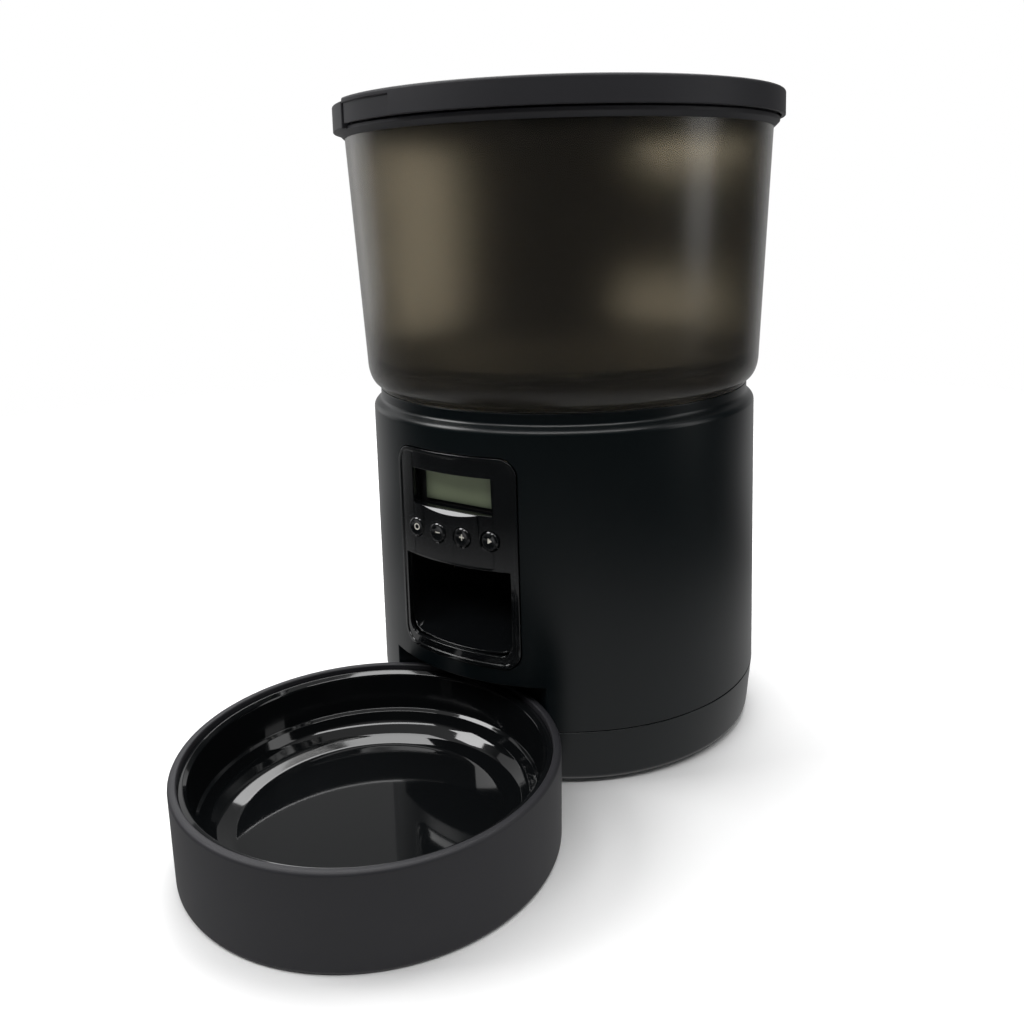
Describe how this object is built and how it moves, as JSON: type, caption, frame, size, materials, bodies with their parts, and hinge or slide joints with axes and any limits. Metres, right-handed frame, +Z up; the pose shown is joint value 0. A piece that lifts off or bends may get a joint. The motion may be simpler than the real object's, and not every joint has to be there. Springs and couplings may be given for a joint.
{
  "type": "automatic pet feeder",
  "caption": "Round automatic pet feeder with a smoked lift-off hopper, geared portion rotor, button panel with display, feed chute and a docked bowl.",
  "frame": {"origin": "middle of the whole footprint, on the surface that the feeder stands on", "axes": "+Z up, front of the feeder and its bowl along -Y, +X to the right seen from the front"},
  "size_m": [0.2146, 0.3346, 0.301],
  "materials": {
    "satin_black": "satin moulded plastic, bluish black",
    "matte_black": "fine matte moulded plastic, charcoal",
    "gloss_black": "polished black plastic",
    "inner_black": "plain moulded plastic, unseen inside",
    "smoke": "smoked translucent plastic, satin",
    "lcd_green": "unlit liquid crystal display",
    "board_green": "solder resist on glass fibre",
    "nylon": "natural nylon",
    "soft_grey": "soft silicone",
    "rubber": "matte rubber",
    "steel": "plated steel"
  },
  "bodies": {
    "base": {"base_tub": "satin_black", "main_shell": "satin_black", "front_panel": "gloss_black", "chute": "gloss_black", "dc_jack": "inner_black", "lcd_frame": "inner_black", "feed_deck": "inner_black", "gearbox_tray": "inner_black", "gearbox_cover": "inner_black", "battery_box": "inner_black", "tact_switch_1": "inner_black", "tact_switch_2": "inner_black", "tact_switch_3": "inner_black", "tact_switch_4": "inner_black", "lcd_screen": "lcd_green", "control_board": "board_green", "foot_1": "rubber", "foot_2": "rubber", "foot_3": "rubber", "foot_4": "rubber", "base_screw_1": "steel", "base_screw_2": "steel", "base_screw_3": "steel", "base_screw_4": "steel", "idler_pin": "steel", "motor": "steel", "battery_spring_1": "steel", "battery_spring_2": "steel", "battery_spring_3": "steel", "battery_plate_1": "steel", "battery_plate_2": "steel", "battery_plate_3": "steel"},
    "rotor": {"drive_shaft": "steel", "output_gear": "nylon", "rotor_hub": "nylon", "rotor_fins": "soft_grey"},
    "idler": {"idler_gear": "nylon"},
    "pinion": {"motor_pinion": "nylon", "motor_shaft": "steel"},
    "hopper": {"hopper": "smoke", "portion_baffle": "inner_black"},
    "lid": {"lid": "matte_black", "lid_gasket": "soft_grey", "desiccant_box": "inner_black"},
    "desiccant_cap": {"desiccant_cap": "inner_black"},
    "battery_door": {"battery_door": "satin_black"},
    "bowl_holder": {"bowl_holder": "matte_black"},
    "food_bowl": {"food_bowl": "gloss_black"},
    "button_1": {"button_1": "gloss_black"},
    "button_2": {"button_2": "gloss_black"},
    "button_3": {"button_3": "gloss_black"},
    "button_4": {"button_4": "gloss_black"}
  },
  "joints": [
    {"name": "rotor_turn", "type": "hinge", "parent": "base", "child": "rotor", "pos_m": [0, 0.06, 0.14], "axis": [0, 0, 1], "continuous": true},
    {"name": "idler_turn", "type": "hinge", "parent": "base", "child": "idler", "pos_m": [0, 0.08, 0.11], "axis": [0, 0, 1], "continuous": true},
    {"name": "pinion_turn", "type": "hinge", "parent": "base", "child": "pinion", "pos_m": [0, 0.1, 0.11], "axis": [0, 0, 1], "continuous": true},
    {"name": "button_1_press", "type": "slide", "parent": "base", "child": "button_1", "axis": [0, 1, 0], "range_m": [0, 0.0008], "stiffness_N_per_m": 1500},
    {"name": "button_2_press", "type": "slide", "parent": "base", "child": "button_2", "axis": [0, 1, 0], "range_m": [0, 0.0008], "stiffness_N_per_m": 1500},
    {"name": "button_3_press", "type": "slide", "parent": "base", "child": "button_3", "axis": [0, 1, 0], "range_m": [0, 0.0008], "stiffness_N_per_m": 1500},
    {"name": "button_4_press", "type": "slide", "parent": "base", "child": "button_4", "axis": [0, 1, 0], "range_m": [0, 0.0008], "stiffness_N_per_m": 1500},
    {"name": "hopper_lift", "type": "slide", "parent": "base", "child": "hopper", "axis": [0, 0, 1], "range_m": [0, 0.1]},
    {"name": "lid_lift", "type": "slide", "parent": "hopper", "child": "lid", "axis": [0, 0, 1], "range_m": [0, 0.08]},
    {"name": "desiccant_cap_drop", "type": "slide", "parent": "lid", "child": "desiccant_cap", "axis": [0, 0, -1], "range_m": [0, 0.03]},
    {"name": "battery_door_drop", "type": "slide", "parent": "base", "child": "battery_door", "axis": [0, 0, -1], "range_m": [0, 0.03]},
    {"name": "bowl_pull", "type": "slide", "parent": "base", "child": "bowl_holder", "axis": [0, -1, 0], "range_m": [0, 0.12]},
    {"name": "food_bowl_lift", "type": "slide", "parent": "bowl_holder", "child": "food_bowl", "axis": [0, 0, 1], "range_m": [0, 0.008]}
  ],
  "couplings": [
    {"joint": "idler_turn", "follows": "rotor_turn", "ratio": -3},
    {"joint": "pinion_turn", "follows": "rotor_turn", "ratio": 9}
  ]
}
